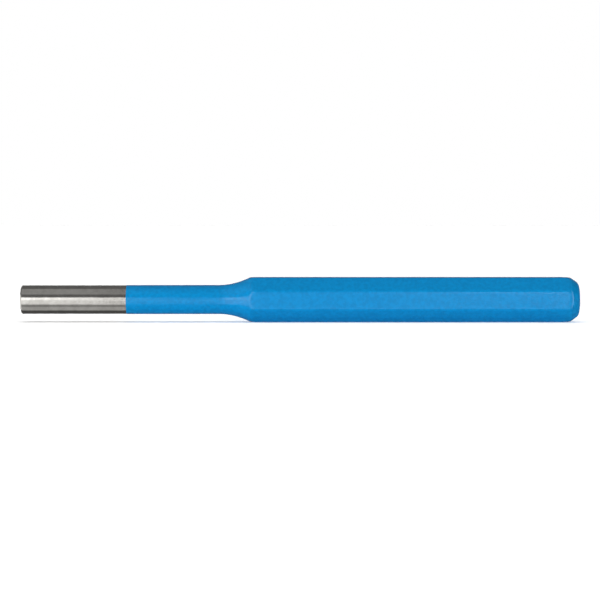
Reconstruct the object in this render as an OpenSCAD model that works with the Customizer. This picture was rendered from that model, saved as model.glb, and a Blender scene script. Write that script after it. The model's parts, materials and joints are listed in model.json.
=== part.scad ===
// Pin punch: an octagonal steel bar turned down to a straight round pin, with a
// film of blue lacquer from its striking head to part of the way along the pin.
// It lies along X, tip towards -X, and rests on one flat of its shank at Z = 0.

/* [Shank] */
// Length of the finished punch, from the driving tip to the lacquered striking face
punch_l = 150; // [100:1:250]
// Width of the bare octagonal bar across its flats
shank_af = 11.9; // [9.5:0.1:20]
// How far each corner of the bar is broken back from a sharp one
corner_break = 0.1; // [0.02:0.01:0.3]

/* [Pin] */
// Diameter of the bare round pin
pin_d = 7.7; // [2:0.1:8.5]
// Straight length of the pin, from the driving tip to the start of the shoulder
pin_l = 53; // [32:1:100]
// Bevel that breaks the edge of the driving tip
tip_bevel = 0.3; // [0.1:0.05:0.8]

/* [Shoulder] */
// Radius of the hollow that runs from the pin out into the bar
shoulder_r = 18; // [6:0.5:36]

/* [Head] */
// Depth of the head's bevel, measured inwards from the flats
head_bevel = 1.6; // [0.8:0.1:2.4]
// Angle of the head's bevel to the axis
head_bevel_a = 37; // [25:1:60]
// Radius of the rim between the bevel and the striking face
rim_r = 1.8; // [0.2:0.1:2]

/* [Lacquer] */
// Thickness of the lacquer film
coat_t = 0.06; // [0.03:0.01:0.2]
// Length of pin that is left bare at the driving tip
bare_l = 28.3; // [5:0.1:30]

/* [Hidden] */
$fn = 180;

// Flats round the bar, and half the angle between two of them
sides = 8;
half_side = 180 / sides;
// Spare length by which the bar stock runs past both turned ends
overrun = 1;

pin_r = pin_d / 2;
flat_r = shank_af / 2;
corner_r = flat_r / cos(half_side) - corner_break;
// The film on the striking face is part of the finished length
steel_l = punch_l - coat_t;
// The film under the resting flat lifts the axis
axis_z = flat_r + coat_t;
tip_x = -punch_l / 2;

// Centre of the rim's arc, as [radius, distance from the tip]: tangent to the bevel and to the face
rim_c = [
    flat_r - head_bevel - rim_r * (1 - sin(head_bevel_a)) / cos(head_bevel_a),
    steel_l - rim_r
];

// Where the rim's arc leaves the bevel, on a surface that stands film above the steel
function rim_start(film) = rim_c + (rim_r + film) * [cos(head_bevel_a), sin(head_bevel_a)];

// Where the bevel starts on the bar's broken corners
function bevel_start(film) =
    let (run = (corner_r + film - rim_start(film)[0]) / sin(head_bevel_a))
    rim_start(film)[1] - run * cos(head_bevel_a);

// Half section of everything that the lathe makes, radius along X and length along Y.
// It stands film above the steel, and starts at the distance from with an edge broken by bevel.
module turned_section(film, from, bevel) {
    difference() {
        union() {
            polygon([
                [0, from],
                [pin_r + film - bevel, from],
                [pin_r + film, from + bevel],
                [pin_r + film, pin_l],
                [corner_r + film, pin_l],
                [corner_r + film, bevel_start(film)],
                rim_start(film),
                [rim_c[0], steel_l + film],
                [0, steel_l + film]
            ]);
            translate(rim_c) circle(r = rim_r + film);
        }
        translate([pin_r + shoulder_r, pin_l]) circle(r = shoulder_r - film);
    }
}

// Octagonal bar stock with flats towards X and Y, along Z
module bar_stock(film) {
    translate([0, 0, -overrun])
        linear_extrude(height = steel_l + film + 2 * overrun)
            rotate(half_side)
                circle(r = (flat_r + film) / cos(half_side), $fn = sides);
}

// The punch as it lies: bar stock that keeps its flats where the turned form is wider
module punch_form(film, from, bevel) {
    translate([tip_x, 0, axis_z])
        rotate([0, 90, 0])
            intersection() {
                rotate_extrude() turned_section(film, from, bevel);
                bar_stock(film);
            }
}

// One-piece forged blank: bare at the driving tip, lacquered elsewhere
module steel_punch() {
    color("#8d8a85") punch_form(film = 0, from = 0, bevel = tip_bevel);
}

// Film that covers the shank, the shoulder, the head and the upper part of the pin
module lacquer_coat() {
    color("#1487cb")
        difference() {
            punch_form(film = coat_t, from = bare_l, bevel = 0);
            punch_form(film = 0, from = 0, bevel = tip_bevel);
        }
}

steel_punch();
lacquer_coat();
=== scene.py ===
"""Pin punch for a studio picture: fine meshes, finishes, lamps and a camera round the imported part.

The meshes follow the way the tool is made. A rounded octagonal bar is pulled inside a turned form, as on a
lathe, which leaves the pin, the hollow shoulder and the bevelled head, and a film of lacquer is laid over it.
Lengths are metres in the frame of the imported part: the punch lies along X, with its tip towards -X.
"""

from __future__ import annotations

import json
import logging
import math
from collections.abc import Callable, Iterator
from contextlib import contextmanager
from dataclasses import dataclass
from enum import Enum

import bmesh
import bpy
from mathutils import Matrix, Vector


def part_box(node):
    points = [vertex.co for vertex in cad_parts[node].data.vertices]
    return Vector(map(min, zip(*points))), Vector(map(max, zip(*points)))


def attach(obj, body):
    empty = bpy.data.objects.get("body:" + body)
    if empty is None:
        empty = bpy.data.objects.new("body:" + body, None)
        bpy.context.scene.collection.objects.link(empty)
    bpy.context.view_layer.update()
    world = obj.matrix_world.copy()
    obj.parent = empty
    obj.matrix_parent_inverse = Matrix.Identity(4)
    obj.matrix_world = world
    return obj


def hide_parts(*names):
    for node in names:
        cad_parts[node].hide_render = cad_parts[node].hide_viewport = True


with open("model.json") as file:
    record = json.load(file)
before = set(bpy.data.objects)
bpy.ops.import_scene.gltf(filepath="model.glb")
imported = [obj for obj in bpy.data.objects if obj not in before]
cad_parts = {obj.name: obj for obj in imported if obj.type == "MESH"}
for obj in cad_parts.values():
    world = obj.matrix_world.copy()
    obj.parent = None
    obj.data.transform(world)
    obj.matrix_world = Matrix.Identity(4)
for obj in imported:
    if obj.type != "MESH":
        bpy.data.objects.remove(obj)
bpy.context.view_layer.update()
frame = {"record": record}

log = logging.getLogger("pin_punch")

MM = 0.001
BODY = "root"
WELD = 0.0001 * MM
NOISE_MEAN = 0.5


class Node(Enum):
    """CAD nodes that the finer meshes stand for."""

    STEEL = "steel_punch"
    LACQUER = "lacquer_coat"


class Slot(Enum):
    """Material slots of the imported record."""

    STEEL = "bare_steel"
    LACQUER = "blue_lacquer"


class Pick(Enum):
    """What edit mode selects."""

    VERTICES = (True, False, False)
    EDGES = (False, True, False)


# Shader expressions


class Value:
    """An output socket that takes part in Python expressions on numbers."""

    def __init__(self, graph: NodeGraph, socket: bpy.types.NodeSocket) -> None:
        """Wraps a socket of a graph."""
        self.graph = graph
        self.socket = socket

    def _math(self, operation: str, *terms: Value | float) -> Value:
        """Adds a Math node.

        Args:
            operation: The Math node's operation.
            terms: Its inputs, in order.

        Returns:
            The node's result.
        """
        return self.graph.add("ShaderNodeMath", {"operation": operation}, dict(enumerate(terms)))

    def __add__(self, other: Value | float) -> Value:
        """self + other."""
        return self._math("ADD", self, other)

    def __radd__(self, other: float) -> Value:
        """other + self."""
        return self._math("ADD", other, self)

    def __sub__(self, other: Value | float) -> Value:
        """self - other."""
        return self._math("SUBTRACT", self, other)

    def __rsub__(self, other: float) -> Value:
        """other - self."""
        return self._math("SUBTRACT", other, self)

    def __mul__(self, other: Value | float) -> Value:
        """self * other."""
        return self._math("MULTIPLY", self, other)

    def __rmul__(self, other: float) -> Value:
        """other * self."""
        return self._math("MULTIPLY", other, self)

    def __pow__(self, other: Value | float) -> Value:
        """self ** other."""
        return self._math("POWER", self, other)


class NodeGraph:
    """Builds one node tree from expressions."""

    def __init__(self, tree: bpy.types.NodeTree) -> None:
        """Empties a node tree and takes it over."""
        tree.nodes.clear()
        self.tree = tree

    def add(
        self,
        kind: str,
        settings: dict[str, object] | None = None,
        inputs: dict[str | int, object] | None = None,
        output: str | int = 0,
    ) -> Value:
        """Adds a node.

        Args:
            kind: The node's type name.
            settings: The node's own properties, set before its sockets.
            inputs: A number, a colour or a Value for each socket, by name or place.
            output: The output socket to hand back, by name or place.

        Returns:
            That output, for further expressions.
        """
        node = self.tree.nodes.new(kind)
        for name, setting in (settings or {}).items():
            setattr(node, name, setting)
        for key, given in (inputs or {}).items():
            if isinstance(given, Value):
                self.tree.links.new(given.socket, node.inputs[key])
            else:
                node.inputs[key].default_value = given
        return Value(self, node.outputs[output] if len(node.outputs) else None)

    def step(self, value: Value, low: float, high: float) -> Value:
        """A smooth rise from 0 to 1.

        Args:
            value: What is measured.
            low: Where the rise starts.
            high: Where it ends. It may lie below low, for a fall.

        Returns:
            The step's value.
        """
        return self.add(
            "ShaderNodeMapRange",
            {"interpolation_type": "SMOOTHSTEP"},
            {"Value": value, "From Min": low, "From Max": high},
        )

    def mix_colour(self, share: Value, first: Value | tuple, second: Value | tuple) -> Value:
        """A colour between two.

        Args:
            share: 0 for the first colour, 1 for the second.
            first: The first colour.
            second: The second colour.

        Returns:
            The mixed colour.
        """
        return self.add(
            "ShaderNodeMix",
            {"data_type": "RGBA"},
            {"Factor": share, 6: first, 7: second},
            output=2,
        )

    def noise(self, point: Value, size: float, detail: float) -> Value:
        """Even noise in space.

        Args:
            point: Where it is read.
            size: The spacing of its coarsest layer.
            detail: How many finer layers lie on that one.

        Returns:
            The noise, which keeps about its mean.
        """
        return self.add("ShaderNodeTexNoise", None, {"Vector": point, "Scale": 1 / size, "Detail": detail})

    def object_point(self) -> Value:
        """The point in the piece's own coordinates."""
        return self.add("ShaderNodeTexCoord", output="Object")

    def axes(self, point: Value) -> list[Value]:
        """Splits a point.

        Args:
            point: The point.

        Returns:
            Its x, y and z.
        """
        split = {"Vector": point}
        return [self.add("ShaderNodeSeparateXYZ", None, split, output=i) for i in range(3)]


def rgba(red: float, green: float, blue: float) -> tuple[float, float, float, float]:
    """An opaque linear colour."""
    return (red, green, blue, 1.0)


def new_material(name: str) -> tuple[bpy.types.Material, NodeGraph]:
    """Makes a material whose nodes are still to be added.

    Args:
        name: The material's name.

    Returns:
        The material and its empty graph.
    """
    material = bpy.data.materials.new(name)
    material.use_nodes = True
    return material, NodeGraph(material.node_tree)


# Modelling by hand


def deselect_all() -> None:
    """Leaves nothing selected and nothing active, so that an operator acts on new pieces alone."""
    bpy.ops.object.select_all(action="DESELECT")
    bpy.context.view_layer.objects.active = None


@contextmanager
def editing(piece: bpy.types.Object, pick: Pick = Pick.VERTICES) -> Iterator[None]:
    """Edit mode on one piece.

    Args:
        piece: The piece to shape.
        pick: What is selected there.

    Yields:
        Nothing; object mode comes back at the end.
    """
    deselect_all()
    piece.select_set(True)
    bpy.context.view_layer.objects.active = piece
    bpy.ops.object.mode_set(mode="EDIT")
    bpy.context.tool_settings.mesh_select_mode = pick.value
    try:
        yield
    finally:
        bpy.ops.object.mode_set(mode="OBJECT")


def select_vertices(piece: bpy.types.Object, test: Callable[[Vector], bool]) -> None:
    """Selects vertices by their place, in edit mode.

    Args:
        piece: The piece in edit mode.
        test: Says whether a vertex at a place is selected.
    """
    bpy.ops.mesh.select_all(action="DESELECT")
    bpy.context.tool_settings.mesh_select_mode = Pick.VERTICES.value
    mesh = bmesh.from_edit_mesh(piece.data)
    for vertex in mesh.verts:
        vertex.select_set(test(vertex.co))
    mesh.select_flush_mode()
    bmesh.update_edit_mesh(piece.data)


def select_edges(piece: bpy.types.Object, test: Callable[[Vector, Vector], bool]) -> None:
    """Selects edges by the places of their ends, in edit mode.

    Args:
        piece: The piece in edit mode.
        test: Says whether an edge between two places is selected.
    """
    bpy.ops.mesh.select_all(action="DESELECT")
    bpy.context.tool_settings.mesh_select_mode = Pick.EDGES.value
    mesh = bmesh.from_edit_mesh(piece.data)
    for edge in mesh.edges:
        edge.select_set(test(edge.verts[0].co, edge.verts[1].co))
    bmesh.update_edit_mesh(piece.data)


def apply_modifier(piece: bpy.types.Object, kind: str, **settings: object) -> None:
    """Adds a modifier to a piece and applies it.

    Args:
        piece: The piece to change.
        kind: The modifier's type.
        settings: The modifier's own properties.
    """
    deselect_all()
    piece.select_set(True)
    bpy.context.view_layer.objects.active = piece
    modifier = piece.modifiers.new(kind.lower(), kind)
    for name, setting in settings.items():
        setattr(modifier, name, setting)
    bpy.ops.object.modifier_apply(modifier=modifier.name)


# Sizes


@dataclass(frozen=True)
class PunchSizes:
    """The punch's driving sizes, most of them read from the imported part."""

    tip_x: float
    paint_x: float
    head_x: float
    axis_z: float
    flat_r: float
    film: float
    pin_r: float
    shoulder_x: float
    shoulder_r: float = 18.0 * MM
    corner_break: float = 0.1 * MM
    tip_bevel: float = 0.3 * MM
    head_bevel: float = 1.6 * MM
    head_bevel_angle: float = math.radians(37)
    rim_r: float = 1.8 * MM
    sides: int = 8

    @classmethod
    def from_frame(cls) -> PunchSizes:
        """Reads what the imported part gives.

        Returns:
            The sizes of the steel, and of the film on it.
        """
        steel_low, steel_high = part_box(Node.STEEL.value)
        coat_low, coat_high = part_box(Node.LACQUER.value)
        mounts = {mount["name"]: mount for mount in frame["record"]["mounts"]}
        wall = mounts["driving_tip"]["dims"]
        tip_bevel = cls.tip_bevel
        return cls(
            tip_x=steel_low.x,
            paint_x=coat_low.x,
            head_x=steel_high.x,
            axis_z=(coat_low.z + coat_high.z) / 2,
            flat_r=(steel_high.z - steel_low.z) / 2,
            film=coat_high.x - steel_high.x,
            pin_r=wall["r_mm"] * MM,
            shoulder_x=steel_low.x + tip_bevel + wall["length_mm"] * MM,
        )

    @property
    def corner_r(self) -> float:
        """Radius over the bar's broken corners."""
        return self.flat_r / math.cos(math.pi / self.sides) - self.corner_break

    def rim_centre(self) -> tuple[float, float]:
        """Centre of the rounded rim's arc.

        Returns:
            Its x and its radius.
        """
        slope = self.head_bevel_angle
        drop = self.rim_r * (1 - math.sin(slope)) / math.cos(slope)
        return (self.head_x - self.rim_r, self.flat_r - self.head_bevel - drop)

    def bevel_x(self, film: float, radius: float) -> float:
        """Where the head's bevel has a radius.

        Args:
            film: How far the bevel's surface stands above the steel.
            radius: The radius.

        Returns:
            The place along the punch.
        """
        slope = self.head_bevel_angle
        rim_x, rim_c = self.rim_centre()
        rim_r = self.rim_r + film
        start_r = rim_c + rim_r * math.cos(slope)
        return rim_x + rim_r * math.sin(slope) - (radius - start_r) / math.tan(slope)


# Meshes


@dataclass
class TurnedForm:
    """What the lathe leaves, as a surface of revolution that stands a film above the steel."""

    sizes: PunchSizes
    film: float
    turn_steps: int = 360
    shoulder_steps: int = 90
    rim_steps: int = 24
    longest: float = 2.5 * MM

    def section(self) -> list[tuple[float, float]]:
        """Half section of the form.

        Returns:
            Points as (x, radius), from the axis at the tip to the axis at the head.
        """
        s = self.sizes
        pin_r = s.pin_r + self.film
        land_r = s.corner_r + self.film
        points = [(s.tip_x, 0.0), (s.tip_x, pin_r - s.tip_bevel), (s.tip_x + s.tip_bevel, pin_r)]

        hollow_r = s.shoulder_r - self.film
        rise = land_r - pin_r
        sweep = math.acos(1 - rise / hollow_r)
        for i in range(self.shoulder_steps + 1):
            turn = sweep * i / self.shoulder_steps
            points.append((s.shoulder_x + hollow_r * math.sin(turn), pin_r + hollow_r * (1 - math.cos(turn))))

        slope = s.head_bevel_angle
        rim_x, rim_c = s.rim_centre()
        rim_r = s.rim_r + self.film
        points.append((s.bevel_x(self.film, land_r), land_r))
        for i in range(self.rim_steps + 1):
            turn = slope + (math.pi / 2 - slope) * i / self.rim_steps
            points.append((rim_x + rim_r * math.sin(turn), rim_c + rim_r * math.cos(turn)))
        points.append((s.head_x + self.film, 0.0))
        return points

    def stations(self) -> list[tuple[float, float]]:
        """Splits the half section's long straight stretches, which keeps the spun faces short.

        Returns:
            Points as (x, radius), each at most the longest step from the one before.
        """
        points = self.section()
        stations = points[:1]
        for (x0, r0), (x1, r1) in zip(points, points[1:]):
            count = math.ceil(math.hypot(x1 - x0, r1 - r0) / self.longest)
            shares = [i / count for i in range(1, count + 1)]
            stations += [(x0 + (x1 - x0) * share, r0 + (r1 - r0) * share) for share in shares]
        return stations

    def build(self) -> bpy.types.Object:
        """Draws the half section and spins it round the axis.

        Returns:
            The closed form.
        """
        points = [Vector((x, 0, self.sizes.axis_z + r)) for x, r in self.stations()]
        deselect_all()
        bpy.ops.mesh.primitive_plane_add(size=MM, location=points[0])
        form = bpy.context.active_object
        bpy.ops.object.transform_apply(location=True, rotation=True, scale=True)
        with editing(form):
            bpy.ops.mesh.select_all(action="SELECT")
            bpy.ops.mesh.merge(type="CENTER")
            for before, after in zip(points, points[1:]):
                bpy.ops.mesh.extrude_vertices_move(TRANSFORM_OT_translate={"value": after - before})
            bpy.ops.mesh.select_all(action="SELECT")
            bpy.ops.mesh.spin(
                steps=self.turn_steps,
                angle=2 * math.pi,
                center=(0, 0, self.sizes.axis_z),
                axis=(1, 0, 0),
            )
            bpy.ops.mesh.select_all(action="SELECT")
            bpy.ops.mesh.remove_doubles(threshold=WELD)
            bpy.ops.mesh.normals_make_consistent(inside=False)
        return form


@dataclass
class TurnedBar:
    """A length of rounded octagonal bar that is cut back to a turned form."""

    sizes: PunchSizes
    film: float
    name: str
    start_x: float
    arris_r: float = 0.6 * MM
    arris_steps: int = 8
    flat_cuts: int = 13
    coarse_step: float = 2.5 * MM
    turned_step: float = 0.3 * MM
    fine_step: float = 0.11 * MM
    blend: float = 1.4 * MM
    soften_share: float = 0.85
    soften_rounds: int = 24
    head_blend: float = 2.1 * MM
    head_shares: tuple[float, ...] = (0.9, 0.7, 0.5, 0.35)
    head_rounds: int = 22
    smooth_factor: float = 0.5
    face_shares: tuple[float, ...] = (0.8, 0.6, 0.4, 0.2)
    sharp: float = math.radians(30)

    @property
    def end_x(self) -> float:
        """Where the bar ends, at the striking face."""
        return self.sizes.head_x + self.film

    @property
    def runout_x(self) -> float:
        """Where the hollow of the shoulder runs out into the flats."""
        s = self.sizes
        rise = s.flat_r - s.pin_r
        return s.shoulder_x + math.sqrt(s.shoulder_r**2 - (s.shoulder_r - rise) ** 2)

    @property
    def bevel_x(self) -> float:
        """Where the head's bevel starts on the flats."""
        return self.sizes.bevel_x(self.film, self.sizes.flat_r + self.film)

    def spans(self) -> list[tuple[float, float]]:
        """Stretches of the bar with their ring spacing.

        Returns:
            The end and the spacing of each stretch, from the bar's start on.
        """
        return [
            (self.sizes.shoulder_x, self.coarse_step),
            (self.runout_x - self.blend, self.turned_step),
            (self.runout_x + self.blend, self.fine_step),
            (self.bevel_x - self.head_blend, self.coarse_step),
            (self.end_x, self.fine_step),
        ]

    def outline(self) -> bpy.types.Object:
        """Draws the bar's rounded octagon at its start.

        Returns:
            A piece that is one closed ring of edges.
        """
        s = self.sizes
        half = math.pi / s.sides
        centre = (self.start_x, 0, s.axis_z)
        flat_r = s.flat_r + self.film
        deselect_all()
        bpy.ops.mesh.primitive_circle_add(
            vertices=s.sides,
            radius=flat_r / math.cos(half),
            location=centre,
            rotation=(0, math.pi / 2, 0),
        )
        bar = bpy.context.active_object
        bar.name = bar.data.name = self.name
        bpy.ops.object.transform_apply(location=True, rotation=True, scale=True)
        flat_w = 2 * flat_r * math.tan(half)
        corner_l = self.arris_r * math.tan(half)
        with editing(bar):
            bpy.ops.mesh.select_all(action="SELECT")
            bpy.ops.transform.rotate(value=half, orient_axis="X", center_override=centre)
            bpy.ops.mesh.bevel(offset=corner_l, segments=self.arris_steps, affect="VERTICES")
            select_edges(bar, lambda a, b: (a - b).length > flat_w / 2)
            bpy.ops.mesh.subdivide(number_cuts=self.flat_cuts)
        return bar

    def _ring(self, bar: bpy.types.Object, x: float) -> None:
        """Selects the ring of edges at one place along the bar."""
        select_edges(bar, lambda a, b: abs(a.x - x) < WELD and abs(b.x - x) < WELD)

    def extrude(self, bar: bpy.types.Object) -> None:
        """Draws the ring out along the bar, with close rings where flats and turned faces meet.

        Args:
            bar: The ring, which becomes an open tube.
        """
        with editing(bar, Pick.EDGES):
            x = self.start_x
            for end, step in self.spans():
                if end <= x:
                    continue
                self._ring(bar, x)
                bpy.ops.mesh.extrude_edges_move(TRANSFORM_OT_translate={"value": (end - x, 0, 0)})
                middle = (x + end) / 2
                select_edges(bar, lambda a, b, m=middle: (a.x - m) * (b.x - m) < 0)
                bpy.ops.mesh.subdivide(number_cuts=max(1, round((end - x) / step) - 1))
                x = end

    def close(self, bar: bpy.types.Object, x: float, rings: list[float]) -> None:
        """Closes one end of the tube with round rings that shrink to a point.

        Args:
            bar: The tube.
            x: Place of the end.
            rings: Radii of the rings on the end's face, from the outside in.
        """
        centre = (x, 0, self.sizes.axis_z)
        with editing(bar, Pick.EDGES):
            self._ring(bar, x)
            before = None
            for radius in rings:
                bpy.ops.mesh.extrude_edges_move(TRANSFORM_OT_translate={"value": (0, 0, 0)})
                if before is None:
                    bpy.ops.transform.tosphere(value=1.0, center_override=centre)
                    picked = [v for v in bmesh.from_edit_mesh(bar.data).verts if v.select]
                    before = sum((v.co - Vector(centre)).length for v in picked) / len(picked)
                share = radius / before
                bpy.ops.transform.resize(value=(1, share, share), center_override=centre)
                before = radius
            bpy.ops.mesh.merge(type="CENTER")

    def cut(self, bar: bpy.types.Object) -> None:
        """Pulls what stands out of the turned form back onto it, as the lathe does.

        Args:
            bar: The bar to cut.
        """
        with editing(bar):
            bpy.ops.mesh.select_all(action="SELECT")
            bpy.ops.mesh.normals_make_consistent(inside=False)
        form = TurnedForm(self.sizes, self.film).build()
        apply_modifier(
            bar, "SHRINKWRAP", target=form, wrap_method="NEAREST_SURFACEPOINT", wrap_mode="INSIDE"
        )
        bpy.data.objects.remove(form)

    def soften(self, bar: bpy.types.Object) -> None:
        """Softens the edges where the turned faces run out into the flats.

        Args:
            bar: The cut bar.
        """
        zones = [(self.runout_x, self.soften_share * self.blend, self.soften_rounds)]
        for share in self.head_shares:
            zones.append((self.bevel_x, share * self.head_blend, self.head_rounds))
        with editing(bar):
            for centre, half, rounds in zones:
                select_vertices(bar, lambda p, c=centre, h=half: abs(p.x - c) < h)
                bpy.ops.mesh.vertices_smooth(factor=self.smooth_factor, repeat=rounds)

    def face_rings(self) -> list[float]:
        """Rings on the striking face, close together over the rounded rim.

        Returns:
            Their radii, from the outside in.
        """
        s = self.sizes
        outer = s.flat_r + self.film
        inner = s.flat_r - s.head_bevel - s.rim_r
        count = round((outer - inner) / self.fine_step)
        close_rings = [outer - (outer - inner) * i / count for i in range(1, count + 1)]
        return close_rings + [inner * share for share in self.face_shares]

    def shade(self, bar: bpy.types.Object) -> None:
        """Shades a piece smooth except at edges above the sharp angle.

        Args:
            bar: The finished piece.
        """
        deselect_all()
        bar.select_set(True)
        bpy.context.view_layer.objects.active = bar
        bpy.ops.object.shade_smooth_by_angle(angle=self.sharp)


@dataclass
class SteelBlank(TurnedBar):
    """The one-piece steel punch, bare at its tip."""

    tip_rings: tuple[float, ...] = (1.0, 0.98, 0.95, 0.92, 0.88, 0.8, 0.6, 0.4, 0.2)

    def build(self, finish: GroundSteel) -> bpy.types.Object:
        """Models the blank and dresses it.

        Args:
            finish: The finish of the steel.

        Returns:
            The finished piece.
        """
        bar = self.outline()
        self.extrude(bar)
        self.close(bar, self.end_x, self.face_rings())
        self.close(bar, self.start_x, [self.sizes.pin_r * share for share in self.tip_rings])
        self.cut(bar)
        self.soften(bar)
        self.shade(bar)
        bar.data.materials.append(finish.material())
        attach(bar, BODY)
        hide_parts(Node.STEEL.value)
        return bar


@dataclass
class LacquerFilm(TurnedBar):
    """The film of lacquer, from the paint line to the head."""

    sharp: float = math.radians(50)

    def build(self, finish: BlueLacquer) -> bpy.types.Object:
        """Models the film as a thin shell and dresses it.

        Args:
            finish: The finish of the lacquer.

        Returns:
            The finished piece.
        """
        bar = self.outline()
        self.extrude(bar)
        self.close(bar, self.end_x, self.face_rings())
        self.cut(bar)
        self.soften(bar)
        apply_modifier(
            bar, "SOLIDIFY", thickness=self.film, offset=-1.0, use_even_offset=True, use_rim=True
        )
        self.shade(bar)
        bar.data.materials.append(finish.material())
        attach(bar, BODY)
        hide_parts(Node.LACQUER.value)
        return bar


# Finishes


@dataclass(frozen=True)
class BlueLacquer:
    """Semi-gloss blue lacquer with a faint orange peel."""

    deep: tuple[float, float, float] = (0.0003, 0.228, 0.542)
    light: tuple[float, float, float] = (0.0006, 0.274, 0.628)
    cloud_size: float = 0.9 * MM
    cloud_detail: float = 3.0
    cloud_edges: tuple[float, float] = (0.3, 0.7)
    peel_size: float = 0.5 * MM
    peel_detail: float = 2.0
    peel_depth: float = 0.035 * MM
    roughness: float = 0.12
    rough_swing: float = 0.05
    specular: float = 0.34

    def material(self) -> bpy.types.Material:
        """Builds the material.

        Returns:
            A material on object coordinates.
        """
        material, graph = new_material("blue_lacquer")
        point = graph.object_point()
        clouds = graph.noise(point, self.cloud_size, self.cloud_detail)
        peel = graph.noise(point, self.peel_size, self.peel_detail)
        share = graph.step(clouds, *self.cloud_edges)
        colour = graph.mix_colour(share, rgba(*self.deep), rgba(*self.light))
        rough = self.roughness + self.rough_swing * (clouds - NOISE_MEAN)
        normal = graph.add("ShaderNodeBump", None, {"Distance": 1.0, "Height": self.peel_depth * peel})
        shader = graph.add(
            "ShaderNodeBsdfPrincipled",
            None,
            {
                "Base Color": colour,
                "Roughness": rough,
                "Specular IOR Level": self.specular,
                "Normal": normal,
            },
        )
        graph.add("ShaderNodeOutputMaterial", None, {"Surface": shader})
        return material


@dataclass(frozen=True)
class GroundSteel:
    """Hardened steel, ground round its axis, with a faced tip."""

    axis_z: float
    tip_x: float
    dark: tuple[float, float, float] = (0.53, 0.515, 0.485)
    bright: tuple[float, float, float] = (0.61, 0.595, 0.565)
    face_edges: tuple[float, float] = (0.06 * MM, 0.02 * MM)
    groove_size: float = 0.09 * MM
    groove_detail: float = 3.0
    groove_depth: float = 0.0025 * MM
    blotch_size: float = 2.2 * MM
    blotch_detail: float = 4.0
    blotch_edges: tuple[float, float] = (0.3, 0.7)
    ripple_size: float = 1.3 * MM
    ripple_detail: float = 1.0
    ripple_depth: float = 0.012 * MM
    roughness: float = 0.14
    rough_swing: float = 0.08

    def material(self) -> bpy.types.Material:
        """Builds the material.

        Returns:
            A material on object coordinates.
        """
        material, graph = new_material("ground_steel")
        point = graph.object_point()
        x, y, z = graph.axes(point)
        height = z - self.axis_z
        radius = (y * y + height * height) ** 0.5
        behind, front = self.face_edges
        face = graph.step(x, self.tip_x + behind, self.tip_x + front)
        along = face * radius + (1 - face) * x
        grooves = graph.add(
            "ShaderNodeTexNoise",
            {"noise_dimensions": "1D"},
            {"W": along, "Scale": 1 / self.groove_size, "Detail": self.groove_detail},
        )
        blotches = graph.noise(point, self.blotch_size, self.blotch_detail)
        share = graph.step(blotches, *self.blotch_edges)
        colour = graph.mix_colour(share, rgba(*self.dark), rgba(*self.bright))
        rough = self.roughness + self.rough_swing * (blotches - NOISE_MEAN)
        ripples = graph.noise(point, self.ripple_size, self.ripple_detail)
        relief = self.groove_depth * grooves + self.ripple_depth * ripples
        normal = graph.add("ShaderNodeBump", None, {"Distance": 1.0, "Height": relief})
        shader = graph.add(
            "ShaderNodeBsdfPrincipled",
            None,
            {"Base Color": colour, "Metallic": 1.0, "Roughness": rough, "Normal": normal},
        )
        graph.add("ShaderNodeOutputMaterial", None, {"Surface": shader})
        return material


@dataclass(frozen=True)
class StudioPaper:
    """Matt paper under the tool, white to the camera and a little greyer in the light that it throws back."""

    name: str = "studio_paper"
    seen: tuple[float, float, float] = (0.9, 0.9, 0.9)
    thrown: tuple[float, float, float] = (0.78, 0.78, 0.78)

    def material(self) -> bpy.types.Material:
        """Builds the material.

        Returns:
            A material of one colour to the camera and another to all else.
        """
        material, graph = new_material(self.name)
        camera_ray = graph.add("ShaderNodeLightPath", output="Is Camera Ray")
        colour = graph.mix_colour(camera_ray, rgba(*self.thrown), rgba(*self.seen))
        shader = graph.add(
            "ShaderNodeBsdfPrincipled",
            None,
            {"Base Color": colour, "Roughness": 1.0, "Specular IOR Level": 0.0},
        )
        graph.add("ShaderNodeOutputMaterial", None, {"Surface": shader})
        return material


@dataclass(frozen=True)
class EvenTone:
    """An even tone for a card."""

    name: str
    glow: float

    def material(self) -> bpy.types.Material:
        """Builds the material.

        Returns:
            A material that glows evenly and isn't sampled as a lamp.
        """
        material, graph = new_material(self.name)
        material.cycles.emission_sampling = "NONE"
        shader = graph.add("ShaderNodeEmission", None, {"Strength": self.glow})
        graph.add("ShaderNodeOutputMaterial", None, {"Surface": shader})
        return material


# Studio


@dataclass(frozen=True)
class Card:
    """A card of one tone beside or under the tool, which only reflections see.

    It lies flat, with its near and far edges along X, unless it is turned.
    """

    name: str
    glow: float
    place: tuple[float, float, float]
    size: tuple[float, float]
    turn: tuple[float, float, float] = (0.0, 0.0, 0.0)
    flare: float = 1.0

    def build(self) -> bpy.types.Object:
        """Cuts the card, sets it up and flares its edge on the camera's side.

        Returns:
            The card.
        """
        deselect_all()
        bpy.ops.mesh.primitive_plane_add(size=1, location=self.place, rotation=self.turn)
        card = bpy.context.active_object
        card.name = self.name
        card.scale = (*self.size, 1)
        bpy.ops.object.transform_apply(location=True, rotation=True, scale=True)
        if self.flare != 1.0:
            edge = self.place[1] - self.size[1] / 2
            with editing(card):
                select_vertices(card, lambda p: p.y < edge + WELD)
                bpy.ops.transform.resize(value=(self.flare, 1, 1), center_override=(0, edge, 0))
        card.data.materials.append(EvenTone(self.name, self.glow).material())
        card.visible_camera = False
        card.visible_diffuse = False
        card.visible_shadow = False
        return card


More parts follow.
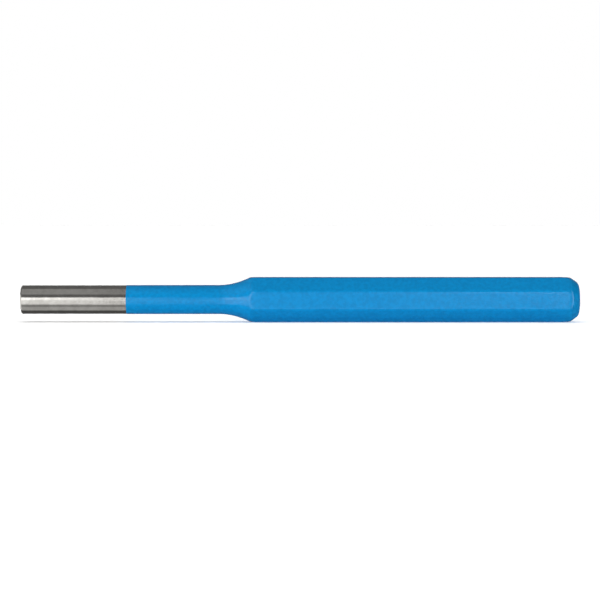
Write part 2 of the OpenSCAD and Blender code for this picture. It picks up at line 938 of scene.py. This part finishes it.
@dataclass
class Studio:
    """Floor, lamps, cards, backdrop and camera."""

    sizes: PunchSizes

    # Paper and camera
    floor_w: float = 12.0
    floor_gap: float = 0.01 * MM
    camera_far: float = 585.0 * MM
    camera_up: float = math.radians(2.2)
    camera_lens: float = 130.3
    aim_x: float = -0.04 * MM
    aim_drop: float = 0.13 * MM

    # Soft boxes on the camera's side and the cards in their plane, by left and right edges
    box_h: float = 200.0 * MM
    box_far: float = 600.0 * MM
    left_box: tuple[float, float] = (-900.0 * MM, -160.0 * MM)
    left_glow: float = 1.65
    left_low_glow: float = 1.75
    left_low: tuple[float, float] = (-900.0 * MM, -190.0 * MM)
    left_low_h: float = 350.0 * MM
    steel_box: tuple[float, float] = (-160.0 * MM, -90.0 * MM)
    steel_glow: float = 1.44
    steel_low: tuple[float, float] = (-190.0 * MM, -93.0 * MM)
    steel_low_glow: float = 1.14
    pin_low: tuple[float, float] = (-95.0 * MM, -44.0 * MM)
    pin_low_z: tuple[float, float] = (-420.0 * MM, -110.0 * MM)
    pin_low_glow: float = 0.3
    right_box: tuple[float, float] = (60.0 * MM, 300.0 * MM)
    right_glow: float = 0.95
    right_low: tuple[float, float] = (60.0 * MM, 170.0 * MM)
    right_low_glow: float = 2.0
    right_low_h: float = 130.0 * MM
    gap: tuple[float, float] = (170.0 * MM, 800.0 * MM)
    gap_glow: float = 0.5
    gap_top: float = 60.0 * MM
    gap_near: float = 10.0 * MM
    camera_glow: float = 0.5

    # Flag behind the tool, by left and right edges
    flag: tuple[float, float] = (-60.0 * MM, 130.0 * MM)
    flag_h: float = 120.0 * MM
    flag_far: float = 250.0 * MM
    flag_glow: float = 0.03

    # Cards beyond the head, by near and far edges
    side_x: float = 260.0 * MM
    edge_y: tuple[float, float] = (-163.0 * MM, -84.0 * MM)
    edge_glow: float = 3.6
    side_y: tuple[float, float] = (-84.0 * MM, 200.0 * MM)
    side_glow: float = 0.06
    side_h: float = 250.0 * MM

    # Panel overhead, distant lamps and world
    top_x: float = -440.0 * MM
    top_y: float = -280.0 * MM
    top_z: float = 600.0 * MM
    top_size: float = 700.0 * MM
    top_glow: float = 0.22
    key_strength: float = 1.4
    key_from: tuple[float, float, float] = (-0.45, -0.66, 0.6)
    key_spread: float = 30.0
    wash_strength: float = 0.95
    fill_strength: float = 2.1
    wash_spread: float = 60.0
    sky: float = 0.15
    horizon_top: float = 11.0
    horizon_fade: float = 17.0

    def floor(self) -> bpy.types.Object:
        """Lays the paper under the tool.

        Returns:
            The paper.
        """
        deselect_all()
        bpy.ops.mesh.primitive_plane_add(size=self.floor_w, location=(0, 0, -self.floor_gap))
        paper = bpy.context.active_object
        paper.name = "studio_floor"
        bpy.ops.object.transform_apply(location=True, rotation=True, scale=True)
        paper.data.materials.append(StudioPaper().material())
        paper.visible_glossy = False
        return paper

    def lamp(self, name: str, kind: str, place: Vector, towards: Vector) -> bpy.types.Object:
        """Adds a lamp.

        Args:
            name: The lamp's name.
            kind: The lamp's type.
            place: Where it stands.
            towards: The point that it faces.

        Returns:
            The lamp.
        """
        deselect_all()
        bpy.ops.object.light_add(type=kind, location=place)
        lamp = bpy.context.active_object
        lamp.name = name
        lamp.rotation_mode = "QUATERNION"
        lamp.rotation_quaternion = (towards - place).to_track_quat("-Z", "Y")
        lamp.visible_camera = False
        return lamp

    def sun(self, name: str, source: Vector, strength: float, spread: float) -> bpy.types.Object:
        """Adds a distant soft lamp.

        Args:
            name: The lamp's name.
            source: Direction that the light comes from.
            strength: Its irradiance.
            spread: Its angular width in degrees.

        Returns:
            The lamp.
        """
        lamp = self.lamp(name, "SUN", source, Vector((0, 0, 0)))
        lamp.data.energy = strength
        lamp.data.angle = math.radians(spread)
        return lamp

    def panel(self, name: str, place: Vector, facing: Vector, size: tuple[float, float], glow: float) -> None:
        """Adds a rectangular soft box.

        Args:
            name: The lamp's name.
            place: Its middle.
            facing: Direction of its light.
            size: Its width and height.
            glow: Its radiance.
        """
        box = self.lamp(name, "AREA", place, place + facing)
        box.data.shape = "RECTANGLE"
        box.data.size, box.data.size_y = size
        box.data.energy = math.pi * size[0] * size[1] * glow

    def lights(self, floor: bpy.types.Object) -> None:
        """Sets soft boxes beside the camera, a dim panel overhead, a key lamp and washes for the paper.

        Args:
            floor: The paper, which alone takes the washes.
        """
        boxes = (
            ("soft_box_left", self.left_box, self.left_glow),
            ("soft_box_right", self.right_box, self.right_glow),
        )
        for name, (low, high), glow in boxes:
            place = Vector(((low + high) / 2, -self.box_far, self.box_h / 2))
            self.panel(name, place, Vector((0, 1, 0)), (high - low, self.box_h), glow)
        overhead = Vector((self.top_x, self.top_y, self.top_z))
        self.panel("top_panel", overhead, Vector((0, 0, -1)), (self.top_size, self.top_size), self.top_glow)
        key = self.sun("key", Vector(self.key_from), self.key_strength, self.key_spread)
        key.visible_glossy = False
        key.light_linking.receiver_collection = self.receivers("all_but_floor", floor, "EXCLUDE")
        only_floor = self.receivers("floor_only", floor, "INCLUDE")
        wash = self.sun("floor_wash", Vector((0, 0, 1)), self.wash_strength, self.wash_spread)
        fill = self.sun("floor_fill", Vector((0, 0, 1)), self.fill_strength, self.wash_spread)
        fill.data.use_shadow = False
        for lamp in (wash, fill):
            lamp.light_linking.receiver_collection = only_floor

    def receivers(self, name: str, piece: bpy.types.Object, state: str) -> bpy.types.Collection:
        """Makes a collection that links a lamp to one piece, or keeps it off that piece.

        Args:
            name: The collection's name.
            piece: The piece.
            state: INCLUDE or EXCLUDE.

        Returns:
            The collection.
        """
        group = bpy.data.collections.new(name)
        group.objects.link(piece)
        group.collection_objects[0].light_linking.link_state = state
        return group

    def screen(
        self, name: str, glow: float, x: tuple[float, float], z: tuple[float, float], near: float = 0.0
    ) -> Card:
        """An upright card along the tool, in the plane of the soft boxes or beyond it.

        Args:
            name: The card's name.
            glow: Its tone.
            x: Its left and right edges.
            z: Its lower and upper edges.
            near: How far it stands from that plane towards the tool, or past it.

        Returns:
            The card, still to be built.
        """
        place = (sum(x) / 2, near - self.box_far, sum(z) / 2)
        return Card(name, glow, place, (x[1] - x[0], z[1] - z[0]), (math.pi / 2, 0.0, 0.0))

    def side_screen(self, name: str, glow: float, y: tuple[float, float], z: tuple[float, float]) -> Card:
        """An upright card beyond the head, which faces along the tool.

        Args:
            name: The card's name.
            glow: Its tone.
            y: Its near and far edges.
            z: Its lower and upper edges.

        Returns:
            The card, still to be built.
        """
        place = (self.side_x, sum(y) / 2, sum(z) / 2)
        return Card(name, glow, place, (z[1] - z[0], y[1] - y[0]), (0.0, math.pi / 2, 0.0))

    def floor_card(
        self,
        name: str,
        glow: float,
        middle: tuple[float, float],
        size: tuple[float, float],
        turn: float = 0.0,
        flare: float = 1.0,
    ) -> Card:
        """A card that lies on the paper.

        Args:
            name: The card's name.
            glow: Its tone.
            middle: The x and y of its middle.
            size: Its width and depth.
            turn: Its turn about Z, in radians.
            flare: How many times wider its edge on the camera's side is.

        Returns:
            The card, still to be built.
        """
        return Card(name, glow, (*middle, -self.floor_gap / 2), size, (0.0, 0.0, turn), flare)

    def upright_cards(self) -> list[Card]:
        """Cards that stand round the tool.

        Returns:
            The cards, still to be built.
        """
        above = (0.0, self.box_h)
        under = (-self.left_low_h, 0.0)
        under_right = (-self.right_low_h, 0.0)
        gap_z = (-self.right_low_h, self.gap_top)
        between = (self.steel_box[1], self.right_box[0])
        flag_near = self.box_far + self.flag_far
        return [
            self.screen("left_low_card", self.left_low_glow, self.left_low, under),
            self.screen("right_low_card", self.right_low_glow, self.right_low, under_right),
            self.screen("gap_card", self.gap_glow, self.gap, gap_z, self.gap_near),
            self.screen("steel_card", self.steel_glow, self.steel_box, above),
            self.screen("steel_low_card", self.steel_low_glow, self.steel_low, under),
            self.screen("pin_low_card", self.pin_low_glow, self.pin_low, self.pin_low_z),
            self.screen("camera_card", self.camera_glow, between, above),
            self.screen("back_flag", self.flag_glow, self.flag, (0.0, self.flag_h), flag_near),
            self.side_screen("edge_card", self.edge_glow, self.edge_y, (-self.right_low_h, self.box_h)),
            self.side_screen("side_card", self.side_glow, self.side_y, (0.0, self.side_h)),
        ]

    def floor_cards(self) -> list[Card]:
        """Cards that lie on the paper.

        Returns:
            The cards, still to be built.
        """
        return [
            self.floor_card(
                "front_strip", glow=0.38, middle=(30 * MM, -320 * MM), size=(88 * MM, 560 * MM), flare=2.0
            ),
            # Painted shadow: the steel_shade and shade cards below lie where the tool shades the paper.
            # Reflections don't see the paper, so these cards stand in for that shadow in them.
            self.floor_card(
                "steel_shade_far", glow=0.32, middle=(-63.5 * MM, -7.6 * MM), size=(33 * MM, 4 * MM)
            ),
            self.floor_card(
                "steel_shade_near", glow=0.5, middle=(-63.5 * MM, -3.9 * MM), size=(33 * MM, 3.4 * MM)
            ),
            self.floor_card(
                "shade_front", glow=0.1, middle=(16.5 * MM, -6.4 * MM), size=(127 * MM, 8.4 * MM)
            ),
            self.floor_card("shade_under", glow=0.1, middle=(0.0, 11.4 * MM), size=(160 * MM, 27.2 * MM)),
            self.floor_card(
                "side_strip",
                glow=0.1,
                middle=(183 * MM, 16 * MM),
                size=(190 * MM, 120 * MM),
                turn=-math.radians(21),
            ),
        ]

    def cards(self) -> None:
        """Sets the cards that shape what the tool reflects."""
        for card in self.upright_cards() + self.floor_cards():
            card.build()

    def backdrop(self) -> None:
        """Makes the world white near the horizon and dim above it."""
        scene = bpy.context.scene
        scene.world = bpy.data.worlds.new("studio")
        scene.world.use_nodes = True
        graph = NodeGraph(scene.world.node_tree)
        ray = graph.add("ShaderNodeTexCoord", output="Generated")
        rise = graph.add("ShaderNodeSeparateXYZ", None, {"Vector": ray}, output=2)
        low = math.sin(math.radians(self.horizon_top))
        high = math.sin(math.radians(self.horizon_fade))
        strength = 1 - (1 - self.sky) * graph.step(rise, low, high)
        light = graph.add("ShaderNodeBackground", None, {"Color": rgba(1, 1, 1), "Strength": strength})
        graph.add("ShaderNodeOutputWorld", None, {"Surface": light})

    def camera(self) -> bpy.types.Object:
        """Sets the camera beside the tool, a little above it.

        Returns:
            The scene's camera.
        """
        aim = Vector((self.aim_x, 0, self.sizes.axis_z - self.aim_drop))
        back = Vector((0, -math.cos(self.camera_up), math.sin(self.camera_up)))
        deselect_all()
        bpy.ops.object.camera_add(location=aim + back * self.camera_far)
        camera = bpy.context.active_object
        camera.name = "photo_camera"
        camera.rotation_mode = "QUATERNION"
        camera.rotation_quaternion = (-back).to_track_quat("-Z", "Y")
        camera.data.lens = self.camera_lens
        camera.data.clip_start = 10 * MM
        camera.data.clip_end = 2 * self.floor_w
        bpy.context.scene.camera = camera
        return camera

    def build(self) -> None:
        """Sets the whole studio up."""
        self.camera()
        self.lights(self.floor())
        self.cards()
        self.backdrop()
        bpy.context.scene.view_settings.view_transform = "Standard"


def main() -> None:
    """Builds the punch and the studio in order."""
    logging.basicConfig(level=logging.INFO, format="%(name)s: %(message)s")
    sizes = PunchSizes.from_frame()
    Studio(sizes).build()
    steel = SteelBlank(sizes, 0.0, "steel_blank", sizes.tip_x).build(GroundSteel(sizes.axis_z, sizes.tip_x))
    lacquer = LacquerFilm(sizes, sizes.film, "lacquer_film", sizes.paint_x).build(BlueLacquer())
    for piece in (steel, lacquer):
        log.info("%s: %d faces", piece.name, len(piece.data.polygons))


if __name__ == "__main__":
    main()
